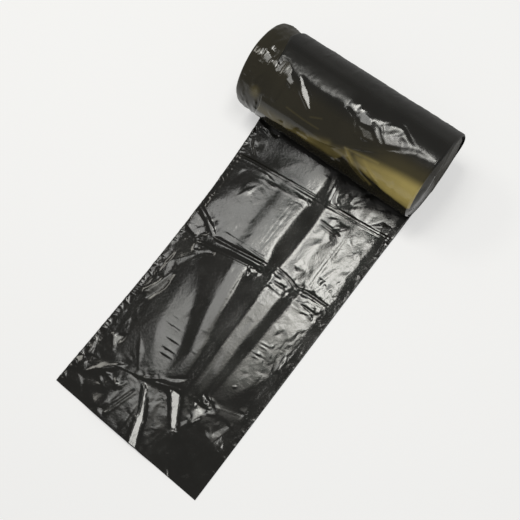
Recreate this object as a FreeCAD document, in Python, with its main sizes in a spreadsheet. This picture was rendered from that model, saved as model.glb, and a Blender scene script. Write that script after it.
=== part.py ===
import FreeCAD, Part
import math
import os

import Sketcher

# Millimetres. X runs along the roll's axis, the loose tail runs along -Y, Z is up and the floor is z = 0.
# The origin lies on the floor, under the middle of the roll's axis.

SIZES = {
    # The roll.
    "roll_length": 230.0,
    "roll_radius": 51.3,
    "flat_sag": 0.8,
    "left_shoulder_run": 5.0,
    "left_shoulder_drop": 3.0,
    "left_rim_run": 2.0,
    "left_rim_drop": 4.0,
    "right_rim_bevel": 1.8,
    # The film web, wound on the roll and lying in front of it.
    "inner_reach": 27.0,
    "web_inset": 1.0,
    "wrap_step": 0.8,
    "wrap_bevel": 1.2,
    "stack_thick": 1.2,
    "tail_reach": 412.0,
    "tail_root": 8.0,
    "edge_overrun": 5.0,
    "hem_width": 3.0,
    "hem_rise": 0.6,
    # The turns that show as a spiral on the two ends.
    "eye_radius": 4.0,
    "turn_pitch": 5.8,
    "groove_width": 1.2,
    "groove_depth": 1.6,
    # The straight seal across the tail, a pair of beads.
    "seal_left_y": -90.0,
    "seal_right_y": -69.0,
    "seal_gap": 4.5,
    "seal_width": 3.5,
    "seal_rise": 0.7,
    # The crumpled crease across the tail and the short gathers on its right half.
    "crease_left_y": -201.0,
    "crease_bend_share": 0.2,
    "crease_bend_y": -188.0,
    "crease_right_y": -173.0,
    "crease_width": 12.0,
    "crease_rise": 2.4,
    "gather_first_share": 0.58,
    "gather_step_share": 0.11,
    "gather_run": 32.0,
    "gather_drop": 15.0,
    "gather_width": 9.0,
    "gather_rise": 2.0,
    # The slanted crease near the free end.
    "fold_left_y": -385.0,
    "fold_right_y": -315.0,
    "fold_width": 14.0,
    "fold_rise": 2.2,
    # The pleats that fan from a knot on the slanted crease to the crumpled crease.
    "knot_share": 0.55,
    "knot_y": -342.0,
    "knot_step": 12.0,
    "fan_first_share": 0.19,
    "fan_step_share": 0.23,
    "fan_end_y": -192.0,
    "pleat_width": 34.0,
    "pleat_rise": 3.0,
    # The folds between the slanted crease and the free end.
    "hang_first_share": 0.4,
    "hang_first_y": -362.0,
    "hang_step_share": 0.13,
    "hang_step_y": 8.0,
    "hang_run_x": 32.0,
    "hang_run_y": -46.0,
    "hang_width": 16.0,
    "hang_rise": 2.0,
    # The puckers along the tail's left side.
    "pucker_first_y": -112.0,
    "pucker_step": 33.0,
    "pucker_run": 20.0,
    "pucker_width": 9.0,
    "pucker_rise": 1.6,
    # The folds on the outermost turn, as shares of the web's width and angles from the top to the front.
    "ridge_left_share": 0.52,
    "ridge_left_turn": 61.0,
    "ridge_mid_share": 0.72,
    "ridge_mid_turn": 37.0,
    "ridge_right_share": 0.98,
    "ridge_right_turn": 12.0,
    "streak_first_share": 0.02,
    "streak_first_turn": -2.0,
    "streak_step_share": 0.17,
    "streak_run_share": 0.14,
    "streak_run_turn": 28.0,
    "crumple_first_share": 0.5,
    "crumple_first_turn": -8.0,
    "crumple_step_share": 0.13,
    "crumple_run_share": 0.06,
    "crumple_run_turn": 34.0,
    "wrap_fold_width": 11.0,
    "wrap_fold_rise": 0.8,
}

TURN_HALVES = 14
GATHERS = 4
FAN_PLEATS = 4
HANGING_FOLDS = 3
PUCKERS = 8
STREAKS = 2
CRUMPLES = 3

HALF_LENGTH = "Sizes.roll_length / 2"
AXIS_HEIGHT = "(Sizes.roll_radius - Sizes.flat_sag)"
WEB_RIGHT = "(Sizes.roll_length / 2 - Sizes.web_inset)"
WEB_LEFT = "(Sizes.inner_reach - Sizes.roll_length / 2)"
WEB_WIDTH = "Sizes.roll_length - Sizes.inner_reach - Sizes.web_inset"

# The corners of the half section: the distance from the right end, and the distance from the axis.
INNER_TURNS = ("roll_radius", "-wrap_step")
SECTION = (
    (("roll_length",), ()),
    (("roll_length",), (*INNER_TURNS, "-left_shoulder_drop", "-left_rim_drop")),
    (("roll_length", "-left_rim_run"), (*INNER_TURNS, "-left_shoulder_drop")),
    (("roll_length", "-left_rim_run", "-left_shoulder_run"), INNER_TURNS),
    (("roll_length", "-inner_reach"), INNER_TURNS),
    (("roll_length", "-inner_reach", "-wrap_bevel"), ("roll_radius",)),
    (("right_rim_bevel",), ("roll_radius",)),
    ((), ("roll_radius", "-right_rim_bevel")),
    ((), ()),
)

# Where a fold's ridge starts and stops, as shares of its run.
FADING = (0.12, 0.5)
LEVEL = (0.02, 0.98)

# The numbers by which a sketch knows the points of its lines and arcs, its root point and its level axis.
START, END, CENTRE = range(1, 4)
H_AXIS = -START
ROOT = (H_AXIS, START)


def add_sizes(doc):
    sheet = doc.addObject("Spreadsheet::Sheet", "Sizes")
    for row, (name, value) in enumerate(SIZES.items(), 1):
        sheet.set(f"A{row}", name)
        sheet.set(f"B{row}", str(value))
        sheet.setAlias(f"B{row}", name)
    doc.recompute()


def total(terms):
    """The sum of the named sizes, where a name after a minus sign is taken away."""
    return sum(-SIZES[term[1:]] if term.startswith("-") else SIZES[term] for term in terms)


def formula(terms):
    """The same sum as an expression on the sheet."""
    return " ".join(f"- Sizes.{term[1:]}" if term.startswith("-") else f"+ Sizes.{term}" for term in terms)


def origin_plane(body, role):
    return next(item for item in body.Origin.OriginFeatures if item.Role == role)


def attached_sketch(body, name, role):
    sketch = body.newObject("Sketcher::SketchObject", name)
    sketch.AttachmentSupport = [(origin_plane(body, role), "")]
    sketch.MapMode = "FlatFace"
    return sketch


def bind_datum(sketch, name, constraint, expression):
    index = sketch.addConstraint(constraint)
    sketch.renameConstraint(index, name)
    sketch.setExpression(f"Constraints.{name}", expression)


def add_line(sketch, start, end):
    return sketch.addGeometry(Part.LineSegment(FreeCAD.Vector(*start, 0), FreeCAD.Vector(*end, 0)), False)


def add_half_circle(sketch, centre_x, radius, upper):
    half_turn = math.pi
    first = 0.0 if upper else half_turn
    circle = Part.Circle(FreeCAD.Vector(centre_x, 0, 0), FreeCAD.Vector(0, 0, 1), radius)
    return sketch.addGeometry(Part.ArcOfCircle(circle, first, first + half_turn), False)


def add_section(body):
    """Half of the roll's length section, with its bevelled rims and the step up to the outermost turn."""
    sketch = attached_sketch(body, "section", "XZ_Plane")
    half = SIZES["roll_length"] / 2
    corners = [(half - total(along), total(across)) for along, across in SECTION]
    sides = [add_line(sketch, first, last) for first, last in zip(corners, corners[1:] + corners[:1])]
    for side, following in zip(sides, sides[1:] + sides[:1]):
        sketch.addConstraint(Sketcher.Constraint("Coincident", side, END, following, START))
    right_foot = (sides[-1], START)
    bind_datum(sketch, "half_length", Sketcher.Constraint("DistanceX", *ROOT, *right_foot, half), HALF_LENGTH)
    for index, (side, (along, across)) in enumerate(zip(sides, SECTION)):
        corner = (side, START)
        if not across:
            sketch.addConstraint(Sketcher.Constraint("PointOnObject", *corner, H_AXIS))
        else:
            height = Sketcher.Constraint("DistanceY", *ROOT, *corner, total(across))
            bind_datum(sketch, f"height_{index}", height, formula(across))
        if along:
            distance = Sketcher.Constraint("DistanceX", *corner, *right_foot, total(along))
            bind_datum(sketch, f"distance_{index}", distance, formula(along))
        elif corner != right_foot:
            sketch.addConstraint(Sketcher.Constraint("Vertical", *corner, *right_foot))
    return sketch


def add_spiral_wall(sketch, name, far_centre, sign):
    """One wall of the spiral groove, as half circles about two centres; it returns the first and the last."""
    pitch = SIZES["turn_pitch"]
    radius = SIZES["eye_radius"] + sign * SIZES["groove_width"] / 2
    walls = []
    for index in range(TURN_HALVES):
        upper = index % 2 == 0
        centre_x, centre = (0.0, ROOT) if upper else (-pitch / 2, (far_centre, START))
        wall = add_half_circle(sketch, centre_x, radius + index * pitch / 2, upper)
        sketch.addConstraint(Sketcher.Constraint("Coincident", wall, CENTRE, *centre))
        sketch.addConstraint(Sketcher.Constraint("PointOnObject", wall, START, H_AXIS))
        if walls:
            sketch.addConstraint(Sketcher.Constraint("Coincident", walls[-1], START, wall, END))
        else:
            sketch.addConstraint(Sketcher.Constraint("PointOnObject", wall, END, H_AXIS))
            bind_datum(sketch, name, Sketcher.Constraint("Radius", wall, radius),
                       f"Sizes.eye_radius + {sign} * Sizes.groove_width / 2")
        walls.append(wall)
    return walls[0], walls[-1]


def add_turns(body, name, side):
    """The spiral groove between the turns on one end, with side 1 for the right end and -1 for the left."""
    sketch = attached_sketch(body, f"{name}_sketch", "YZ_Plane")
    sketch.setExpression("AttachmentOffset.Base.z", f"{side} * {HALF_LENGTH}")
    half_pitch = SIZES["turn_pitch"] / 2
    far_centre = sketch.addGeometry(Part.Point(FreeCAD.Vector(-half_pitch, 0, 0)), True)
    sketch.addConstraint(Sketcher.Constraint("PointOnObject", far_centre, START, H_AXIS))
    bind_datum(sketch, "half_pitch", Sketcher.Constraint("DistanceX", far_centre, START, *ROOT, half_pitch),
               "Sizes.turn_pitch / 2")
    inner_first, inner_last = add_spiral_wall(sketch, "inner_start", far_centre, -1)
    outer_first, outer_last = add_spiral_wall(sketch, "outer_start", far_centre, 1)
    for inner, outer, point in ((inner_first, outer_first, END), (inner_last, outer_last, START)):
        inner_at = sketch.getPoint(inner, point)
        outer_at = sketch.getPoint(outer, point)
        cap = add_line(sketch, (inner_at.x, inner_at.y), (outer_at.x, outer_at.y))
        sketch.addConstraint(Sketcher.Constraint("Coincident", cap, START, inner, point))
        sketch.addConstraint(Sketcher.Constraint("Coincident", cap, END, outer, point))
    body.Document.recompute()
    pocket = body.newObject("PartDesign::Pocket", name)
    pocket.Profile = sketch
    pocket.Reversed = side < 0
    pocket.setExpression("Length", "Sizes.groove_depth")
    return pocket


def add_roll(doc):
    body = doc.addObject("PartDesign::Body", "roll")
    body.setExpression("Placement.Base.z", AXIS_HEIGHT)
    section = add_section(body)
    doc.recompute()
    turned = body.newObject("PartDesign::Revolution", "wound_turns")
    turned.Profile = section
    turned.ReferenceAxis = (section, ["H_Axis"])
    turned.Angle = 360.0
    doc.recompute()
    volume = turned.Shape.Volume
    for name, side in (("right_turns", 1), ("left_turns", -1)):
        pocket = add_turns(body, name, side)
        doc.recompute()
        if pocket.Shape.Volume >= volume:
            raise ValueError(f"{pocket.Name} removed nothing")
        volume = pocket.Shape.Volume
    body.Tip = pocket
    doc.recompute()
    return body


def add_web_box(doc, name, length, height):
    """A box over the web's width that ends at the tail's free end."""
    box = doc.addObject("Part::Box", name)
    box.setExpression("Length", WEB_WIDTH)
    box.setExpression("Width", length)
    box.setExpression("Height", height)
    box.setExpression("Placement", f"placement(vector({WEB_LEFT}; -Sizes.tail_reach; 0); rotation(0; 0; 0))")
    return box


def add_fold(doc, name, run, width, height, ridge):
    """A fold as a low hipped roof: X along its run, Y up, and the ridge over a share of the run."""
    first, last = ridge
    fold = doc.addObject("Part::Wedge", name)
    fold.Xmin = 0.0
    fold.Ymin = 0.0
    fold.Z2min = 0.0
    fold.Z2max = 0.0
    bound = (
        ("Xmax", run), ("Ymax", height), ("Zmin", f"-{width} / 2"), ("Zmax", f"{width} / 2"),
        ("X2min", f"{run} * {first}"), ("X2max", f"{run} * {last}"),
    )
    for side, expression in bound:
        fold.setExpression(side, expression)
    return fold


def add_tail_fold(doc, name, kind, start, end, ridge=FADING):
    """A fold that stands on the tail between two places, each given as two expressions."""
    run_x, run_y = (f"(({last}) - ({first}))" for first, last in zip(start, end))
    run = f"sqrt({run_x}^2 + {run_y}^2)"
    height = f"Sizes.{kind}_rise + Sizes.stack_thick / 2"
    fold = add_fold(doc, name, run, f"Sizes.{kind}_width", height, ridge)
    place = f"vector({start[0]}; {start[1]}; Sizes.stack_thick / 2)"
    fold.setExpression("Placement", f"placement({place}; rotation(atan2({run_y}; {run_x}); 0; 90))")
    return fold


def add_wrap_fold(doc, name, start, end):
    """A fold on the outermost turn, between two places given as a length along the axis and an angle."""
    (start_x, start_turn), (end_x, end_turn) = start, end
    half_turn = f"((({end_turn}) - ({start_turn})) / 2 * 1 deg)"
    middle = f"((({end_turn}) + ({start_turn})) / 2)"
    across = f"(Sizes.roll_radius * sin({half_turn}))"
    chord_height = f"(Sizes.roll_radius * cos({half_turn}))"
    run_x = f"(({end_x}) - ({start_x}))"
    run = f"sqrt({run_x}^2 + (2 * {across})^2)"
    height = f"Sizes.roll_radius - {chord_height} + Sizes.wrap_fold_rise"
    fold = add_fold(doc, name, run, "Sizes.wrap_fold_width", height, FADING)
    turned = f"placement(vector(0; 0; {AXIS_HEIGHT}); rotation(vector(1; 0; 0); {middle}))"
    place = f"vector({start_x}; {across}; {chord_height})"
    on_chord = f"placement({place}; rotation(atan2(-2 * {across}; {run_x}); 0; 90))"
    fold.setExpression("Placement", f"{turned} * {on_chord}")
    return fold


def across_web(share):
    """A place along X, from a share of the web's width."""
    return f"({WEB_LEFT} + ({share}) * ({WEB_WIDTH}))"


def past_edge(side):
    """A place just outside the web's left or right side, so that a fold runs out over the edge."""
    return f"{WEB_LEFT} - Sizes.edge_overrun" if side == "left" else f"{WEB_RIGHT} + Sizes.edge_overrun"


def add_hems(doc):
    hems = []
    for name, centre_x in (("left_hem", f"{WEB_LEFT} + Sizes.hem_width / 2"),
                           ("right_hem", f"{WEB_RIGHT} - Sizes.hem_width / 2")):
        start = (centre_x, "0")
        end = (centre_x, "-Sizes.tail_reach - Sizes.edge_overrun")
        hems.append(add_tail_fold(doc, name, "hem", start, end, LEVEL))
    return hems


def add_seal(doc):
    beads = []
    for name, shift in (("upper_bead", "Sizes.seal_gap / 2"), ("lower_bead", "-Sizes.seal_gap / 2")):
        start = (past_edge("left"), f"Sizes.seal_left_y + {shift}")
        end = (past_edge("right"), f"Sizes.seal_right_y + {shift}")
        beads.append(add_tail_fold(doc, name, "seal", start, end, LEVEL))
    return beads


def add_crumpled_crease(doc):
    """The bent crease, and the gathers that leave its right half."""
    bend = (across_web("Sizes.crease_bend_share"), "Sizes.crease_bend_y")
    left = (past_edge("left"), "Sizes.crease_left_y")
    right = (past_edge("right"), "Sizes.crease_right_y")
    folds = [
        add_tail_fold(doc, "crease_left", "crease", bend, left, LEVEL),
        add_tail_fold(doc, "crease_right", "crease", bend, right, LEVEL),
    ]
    slope = f"(Sizes.crease_right_y - Sizes.crease_bend_y) / ({right[0]} - {bend[0]})"
    for index in range(GATHERS):
        start_x = across_web(f"Sizes.gather_first_share + {index} * Sizes.gather_step_share")
        start_y = f"(Sizes.crease_bend_y + ({start_x} - {bend[0]}) * {slope})"
        end = (f"{start_x} + Sizes.gather_run", f"{start_y} - Sizes.gather_drop")
        folds.append(add_tail_fold(doc, f"gather_{index}", "gather", (start_x, start_y), end))
    return folds


def add_fan(doc):
    """The pleats that spread from the knot to places evenly along the crumpled crease."""
    middle = (FAN_PLEATS - 1) / 2
    folds = []
    for index in range(FAN_PLEATS):
        far = (across_web(f"Sizes.fan_first_share + {index} * Sizes.fan_step_share"), "Sizes.fan_end_y")
        near_x = f"{across_web('Sizes.knot_share')} + {index - middle} * Sizes.knot_step"
        near = (near_x, "Sizes.knot_y")
        folds.append(add_tail_fold(doc, f"pleat_{index}", "pleat", far, near))
    return folds


def add_free_end(doc):
    """The slanted crease near the free end, and the folds that hang from it."""
    left = (past_edge("left"), "Sizes.fold_left_y")
    right = (past_edge("right"), "Sizes.fold_right_y")
    folds = [add_tail_fold(doc, "slanted_fold", "fold", left, right, LEVEL)]
    for index in range(HANGING_FOLDS):
        start_x = across_web(f"Sizes.hang_first_share + {index} * Sizes.hang_step_share")
        start_y = f"Sizes.hang_first_y + {index} * Sizes.hang_step_y"
        end = (f"{start_x} + Sizes.hang_run_x", f"{start_y} + Sizes.hang_run_y")
        folds.append(add_tail_fold(doc, f"hanging_{index}", "hang", (start_x, start_y), end))
    return folds


def add_puckers(doc):
    """The short folds along the tail's left side."""
    folds = []
    for index in range(PUCKERS):
        place_y = f"Sizes.pucker_first_y - {index} * Sizes.pucker_step"
        end = (f"{WEB_LEFT} + Sizes.pucker_run", place_y)
        folds.append(add_tail_fold(doc, f"pucker_{index}", "pucker", (past_edge("left"), place_y), end))
    return folds


def add_wrap_folds(doc):
    """The bent ridge across the front of the outermost turn, and the short creases above it."""
    places = [(across_web(f"Sizes.ridge_{place}_share"), f"Sizes.ridge_{place}_turn")
              for place in ("left", "mid", "right")]
    folds = [
        add_wrap_fold(doc, "ridge_left", places[0], places[1]),
        add_wrap_fold(doc, "ridge_right", places[1], places[2]),
    ]
    for kind, count in (("streak", STREAKS), ("crumple", CRUMPLES)):
        for index in range(count):
            share = f"Sizes.{kind}_first_share + {index} * Sizes.{kind}_step_share"
            start = (across_web(share), f"Sizes.{kind}_first_turn")
            end_turn = f"Sizes.{kind}_first_turn + Sizes.{kind}_run_turn"
            end = (across_web(f"{share} + Sizes.{kind}_run_share"), end_turn)
            folds.append(add_wrap_fold(doc, f"{kind}_{index}", start, end))
    return folds


def add_fusion(doc, name, pieces):
    fusion = doc.addObject("Part::MultiFuse", name)
    fusion.Shapes = pieces
    return fusion


def add_tail(doc):
    """The flat film in front of the roll, with every fold trimmed to the web's width."""
    flat = add_web_box(doc, "flat_film", "Sizes.tail_reach + Sizes.tail_root", "Sizes.stack_thick")
    folds = []
    for add_folds in (add_hems, add_seal, add_crumpled_crease, add_fan, add_free_end, add_puckers):
        folds += add_folds(doc)
    limits = add_web_box(doc, "web_limits", "Sizes.tail_reach", "Sizes.roll_radius")
    trimmed = doc.addObject("Part::Common", "trimmed_folds")
    trimmed.Base = add_fusion(doc, "tail_folds", folds)
    trimmed.Tool = limits
    return [flat, trimmed]


def add_bag_roll(doc):
    film = add_fusion(doc, "film", [add_roll(doc), *add_tail(doc), *add_wrap_folds(doc)])
    under_floor = doc.addObject("Part::Box", "under_floor")
    under_floor.setExpression("Length", "2 * Sizes.roll_length")
    under_floor.setExpression("Width", "3 * Sizes.tail_reach")
    under_floor.setExpression("Height", "Sizes.roll_radius")
    corner = "vector(-Sizes.roll_length; -2 * Sizes.tail_reach; -Sizes.roll_radius)"
    under_floor.setExpression("Placement", f"placement({corner}; rotation(0; 0; 0))")

    bag_roll = doc.addObject("Part::Cut", "rested_film")
    bag_roll.Base = film
    bag_roll.Tool = under_floor
    bag_roll.Label = "bag_roll"
    bag_roll.Placement = FreeCAD.Placement()
    return bag_roll


def check_objects(doc):
    for item in doc.Objects:
        if "Invalid" in item.State or "Error" in item.State:
            raise ValueError(f"{item.Name}: {item.State}")


def write_part(part):
    shape = part.Shape
    if shape.isNull() or not shape.isValid() or len(shape.Solids) != 1:
        raise ValueError(f"{part.Label} is not one valid solid")
    os.makedirs("parts", exist_ok=True)
    shape.exportStep(f"parts/{part.Label}.step")
    print(part.Label, "volume", round(shape.Volume), "faces", len(shape.Faces))


doc = FreeCAD.newDocument("BagRoll")
add_sizes(doc)
bag_roll = add_bag_roll(doc)
doc.recompute()
check_objects(doc)
write_part(bag_roll)
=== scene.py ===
import math

import bpy
import numpy as np
from mathutils import Matrix, Vector
from mathutils.geometry import delaunay_2d_cdt


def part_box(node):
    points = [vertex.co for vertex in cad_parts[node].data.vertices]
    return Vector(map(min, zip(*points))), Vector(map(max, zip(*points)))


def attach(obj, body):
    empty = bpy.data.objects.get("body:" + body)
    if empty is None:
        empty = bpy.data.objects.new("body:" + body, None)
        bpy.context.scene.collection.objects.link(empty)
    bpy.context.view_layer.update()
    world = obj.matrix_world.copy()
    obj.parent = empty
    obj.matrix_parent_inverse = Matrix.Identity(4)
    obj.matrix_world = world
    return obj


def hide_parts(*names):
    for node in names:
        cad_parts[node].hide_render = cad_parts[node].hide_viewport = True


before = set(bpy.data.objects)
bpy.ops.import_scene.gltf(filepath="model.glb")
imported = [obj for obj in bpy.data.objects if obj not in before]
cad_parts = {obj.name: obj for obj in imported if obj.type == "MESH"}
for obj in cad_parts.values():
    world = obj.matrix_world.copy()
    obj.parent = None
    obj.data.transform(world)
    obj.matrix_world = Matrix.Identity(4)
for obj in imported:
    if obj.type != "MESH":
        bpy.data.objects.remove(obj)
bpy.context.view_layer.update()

# The surfaces are worked out in millimetres, in the CAD frame: X along the roll, the tail towards -Y, Z up.
MM = 0.001
node_low, node_high = (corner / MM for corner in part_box("bag_roll"))

# The roll and the web, from the frame.
ROLL_LEFT = node_low[0]
ROLL_RIGHT = node_high[0]
RADIUS = node_high[1]
TAIL_END = node_low[1]
# How far the roll is pressed flat where it rests on the floor.
FLAT_SAG = 0.8
AXIS_Z = RADIUS - FLAT_SAG
# How far the outermost turn and the tail stay inside the two ends of the turns below.
LEFT_STEP = 27.0
RIGHT_STEP = 1.0
WEB_LEFT = ROLL_LEFT + LEFT_STEP
WEB_RIGHT = ROLL_RIGHT - RIGHT_STEP
# How far the turns below lie inside the outermost one, where they show and where they are hidden.
SHOWN_DEPTH = 1.1
HIDDEN_DEPTH = 7.0
INNER_RADIUS = RADIUS - SHOWN_DEPTH
HIDDEN_RADIUS = RADIUS - HIDDEN_DEPTH
# How far the tail reaches under the roll, past the roll's axis.
TAIL_BACK = 6.0
# The film's mean height over the floor, and the underside's.
FILM_LIFT = 2.0
FLOOR_GAP = 0.15
# The length of one degree round the roll, half a round in degrees, and the spacing of the height fields.
TURN = math.pi / 180.0 * RADIUS
HALF_ROUND = 180.0
STEP = 1.0


# Height fields

def smooth(value):
    value = np.clip(value, 0.0, 1.0)
    return value * value * (3.0 - 2.0 * value)


def ramp(value, start, end):
    """0 before start and 1 after end, with soft ends."""
    return smooth((value - start) / (end - start))


def window(value, low, high, soft):
    return ramp(value, low - soft, low + soft) * (1.0 - ramp(value, high - soft, high + soft))


def line_height(points, x):
    xs, ys = zip(*points)
    return np.interp(x, xs, ys)


# How far a flat facet's soft border may reach.
FACET_MARGIN = 4.0
# Crumpled film: how far the outermost points lie outside the box, the points added to those that the
# spacing gives, the distance below which two points are one, and the area below which a facet is left out.
CRUMPLE_MARGIN = 9.0
ADDED_POINTS = 6
SAME_PLACE = 1e-5
SMALLEST_AREA = 1e-6
# Keeps the last places inside the grid's last cells.
LAST_CELL = 1.001


class Field:
    """Heights over a flat grid. On the roll, the grid's Y runs round it, still in millimetres."""

    def __init__(self, xs, ys):
        self.xs = xs
        self.ys = ys
        self.x, self.y = np.meshgrid(xs, ys)
        self.height = np.zeros_like(self.x)

    def part(self, low, high):
        """The slice of the grid inside a box."""
        columns = np.searchsorted(self.xs, (low[0], high[0]))
        rows = np.searchsorted(self.ys, (low[1], high[1]))
        return slice(rows[0], rows[1] + 1), slice(columns[0], columns[1] + 1)

    def tent(self, start, end, rise, slopes, peak=0.5, round_end=0.0):
        """A crease with two flat flanks that fades towards both ends. Its slopes are those of its left and
        right flanks, seen along the way from start to end, and a negative rise makes a furrow."""
        way = (end[0] - start[0], end[1] - start[1])
        run = math.hypot(*way)
        reach = abs(rise) / min(slopes)
        low = (min(start[0], end[0]) - reach, min(start[1], end[1]) - reach)
        high = (max(start[0], end[0]) + reach, max(start[1], end[1]) + reach)
        part = self.part(low, high)
        x, y = self.x[part] - start[0], self.y[part] - start[1]
        along = (x * way[0] + y * way[1]) / run**2
        across = (y * way[0] - x * way[1]) / run
        profile = np.clip(np.minimum(along / peak, (1.0 - along) / (1.0 - peak)), 0.0, 1.0)
        profile = profile ** (1.0 - round_end)
        fall = np.where(across > 0.0, across * slopes[0], -across * slopes[1])
        self.height[part] += math.copysign(1.0, rise) * np.maximum(abs(rise) * profile - fall, 0.0)

    def ridge(self, points, rise, slopes, fade=6.0):
        """A crease of even height along a bent line that runs to the right."""
        xs, ys = (np.array(values, float) for values in zip(*points))
        line_y = np.interp(self.xs, xs, ys)
        tilt = np.gradient(line_y, self.xs)
        across = (self.y - line_y) / np.sqrt(1.0 + tilt**2)
        inside = np.minimum(self.xs - xs[0], xs[-1] - self.xs)
        fall = np.where(across > 0.0, across * slopes[0], -across * slopes[1])
        reach = abs(rise) * np.clip(inside / fade, 0.0, 1.0)
        self.height += math.copysign(1.0, rise) * np.maximum(reach - fall, 0.0)

    def crumple(self, low, high, spacing, rise, seed, stretch=(1.0, 1.0), soft=6.0):
        """Flat facets between random points, as in crumpled film, over a box with soft borders."""
        random = np.random.default_rng(seed)
        wide = (high[0] - low[0]) / stretch[0]
        tall = (high[1] - low[1]) / stretch[1]
        count = int(wide * tall / spacing**2) + ADDED_POINTS
        places = random.uniform((0.0, 0.0), (wide, tall), (count, 2))
        near = -CRUMPLE_MARGIN
        right = wide + CRUMPLE_MARGIN
        far = tall + CRUMPLE_MARGIN
        corners = [(near, near), (right, near), (right, far), (near, far)]
        places = np.concatenate([places, np.array(corners)])
        levels = random.normal(0.0, 1.0, len(places))
        vectors = [Vector(place) for place in places]
        points, _, triangles, sources, _, _ = delaunay_2d_cdt(vectors, [], [], 0, SAME_PLACE)
        levels = np.array([levels[source[0]] for source in sources])
        points = np.array([tuple(point) for point in points]) * stretch + low
        layer = np.zeros_like(self.height)
        for triangle in triangles:
            self.lay_triangle(layer, points[triangle], levels[list(triangle)])
        cover = window(self.x, low[0] + soft, high[0] - soft, soft)
        cover *= window(self.y, low[1] + soft, high[1] - soft, soft)
        self.height += rise * layer * cover

    def lay_triangle(self, layer, corners, levels):
        """Lays a flat triangle into a layer of heights, between the levels of its corners."""
        part = self.part(corners.min(axis=0), corners.max(axis=0))
        x, y = self.x[part], self.y[part]
        (ax, ay), (bx, by), (cx, cy) = corners
        area = (bx - ax) * (cy - ay) - (cx - ax) * (by - ay)
        if abs(area) < SMALLEST_AREA or x.size == 0:
            return
        share_b = ((x - ax) * (cy - ay) - (cx - ax) * (y - ay)) / area
        share_c = ((bx - ax) * (y - ay) - (x - ax) * (by - ay)) / area
        share_a = 1.0 - share_b - share_c
        inside = (share_a >= 0.0) & (share_b >= 0.0) & (share_c >= 0.0)
        level = share_a * levels[0] + share_b * levels[1] + share_c * levels[2]
        layer[part] = np.where(inside, level, layer[part])

    def facet(self, corners, level):
        """Lays a flat facet with soft borders over a polygon, at the film's mean height there."""
        xs, ys = zip(*corners)
        low = (min(xs) - FACET_MARGIN, min(ys) - FACET_MARGIN)
        high = (max(xs) + FACET_MARGIN, max(ys) + FACET_MARGIN)
        part = self.part(low, high)
        inside = inside_outline(self.x[part], self.y[part], corners)
        lifted = level[part] + (self.height[part][inside] - level[part][inside]).mean()
        cover = evened(inside.astype(float), (1, 1))
        self.height[part] += (lifted - self.height[part]) * cover

    def soften(self):
        """Rounds the creases by a part of a millimetre."""
        padded = np.pad(self.height, 1, mode="edge")
        beside = padded[1:-1, :-2] + padded[1:-1, 2:] + padded[:-2, 1:-1] + padded[2:, 1:-1]
        self.height = 0.6 * self.height + 0.1 * beside

    def sample(self, x, y):
        """Heights at any places, between the grid's own."""
        column = np.clip((x - self.xs[0]) / (self.xs[1] - self.xs[0]), 0.0, len(self.xs) - LAST_CELL)
        row = np.clip((y - self.ys[0]) / (self.ys[1] - self.ys[0]), 0.0, len(self.ys) - LAST_CELL)
        left, low = column.astype(int), row.astype(int)
        u, v = column - left, row - low
        near = self.height[low, left] * (1.0 - u) + self.height[low, left + 1] * u
        far = self.height[low + 1, left] * (1.0 - u) + self.height[low + 1, left + 1] * u
        return near * (1.0 - v) + far * v


def inside_outline(x, y, corners):
    """Which places lie inside a polygon."""
    inside = np.zeros(x.shape, bool)
    for (ax, ay), (bx, by) in zip(corners, (*corners[1:], corners[0])):
        level = (y > ay) != (y > by)
        inside ^= level & (x < ax + (bx - ax) * (y - ay) / (by - ay + 1e-9))
    return inside


def evened(heights, reaches):
    """Heights with their bends rounded over a reach in Y and one in X, in grid steps."""
    for axis, reach in enumerate(reaches):
        offsets = np.arange(-3 * reach, 3 * reach + 1)
        weights = np.exp(-0.5 * (offsets / reach) ** 2)
        pads = [(0, 0), (0, 0)]
        pads[axis] = (3 * reach, 3 * reach)
        padded = np.pad(heights, pads, mode="edge")
        size = heights.shape[axis]
        shifted = [np.take(padded, np.arange(k, k + size), axis=axis) for k in range(len(offsets))]
        heights = sum(weight * part for weight, part in zip(weights, shifted)) / weights.sum()
    return heights


def lofted(x, y, stations):
    """Heights between sections across the web, whose knots shift from one station along Y to the next."""
    heights = np.zeros_like(x)
    for (near_y, near), (far_y, far) in zip(stations, stations[1:]):
        share = np.clip((near_y - y) / (near_y - far_y), 0.0, 1.0)
        first, last = near_y == stations[0][0], far_y == stations[-1][0]
        here = ((y <= near_y) | first) & ((y > far_y) | last)
        places = [a[0] + (b[0] - a[0]) * share for a, b in zip(near, far)]
        levels = [a[1] + (b[1] - a[1]) * share for a, b in zip(near, far)]
        for k in range(len(places) - 1):
            along = (x - places[k]) / np.maximum(places[k + 1] - places[k], 1e-3)
            level = levels[k] + (levels[k + 1] - levels[k]) * along
            heights = np.where(here & (along >= 0.0) & (along <= 1.0), level, heights)
    return heights


# The loose tail

# Bent lines across the tail: the double seal, the crumpled crease and the slanted one.
SEAL = ((WEB_LEFT, -89.5), (-68, -86.5), (18, -79.5), (WEB_RIGHT, -70.5))
CREASE = ((WEB_LEFT, -178), (-48, -186), (18, -177), (66, -178), (WEB_RIGHT, -176))
SLANT = ((WEB_LEFT, -380), (-48, -362.5), (-10, -353.5), (20, -343.5), (33, -338),
         (60, -333), (WEB_RIGHT, -317))

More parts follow.
